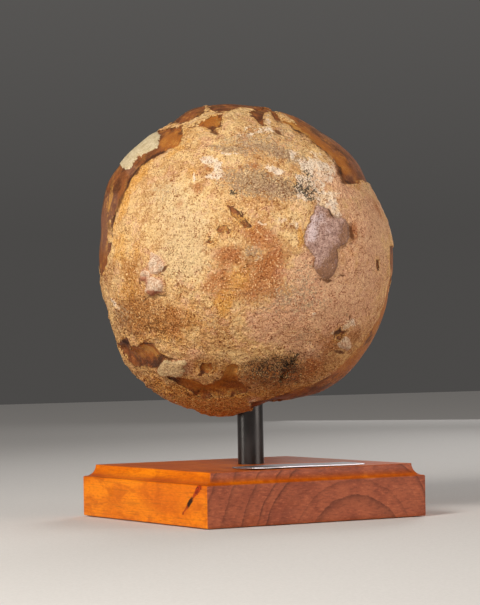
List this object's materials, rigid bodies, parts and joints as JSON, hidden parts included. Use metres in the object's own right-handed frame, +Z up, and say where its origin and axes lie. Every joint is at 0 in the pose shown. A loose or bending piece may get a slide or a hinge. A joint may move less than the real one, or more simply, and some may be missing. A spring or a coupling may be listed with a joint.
{
  "type": "fossil mammoth femur head on stand",
  "caption": "Fossil ball end of a mammoth thigh bone, broken off at the neck, held up on a short black rod in a square wooden base with a bare metal plate.",
  "frame": {"origin": "middle of the wooden base's underside", "axes": "+Z up; -Y is the side of the base that the metal plate lies along; +X is to the right when that side is faced"},
  "size_m": [0.1826, 0.1733, 0.252],
  "materials": {
    "bone": "matt sandy crust, glossy amber-brown where it has chipped off",
    "rod": "satin black",
    "base": "satin varnish, reddish brown",
    "plate": "lightly brushed, bare"
  },
  "bodies": {
    "root": {"femur_head": "bone", "support_rod": "rod", "wooden_base": "base", "nameplate": "plate"}
  },
  "joints": []
}
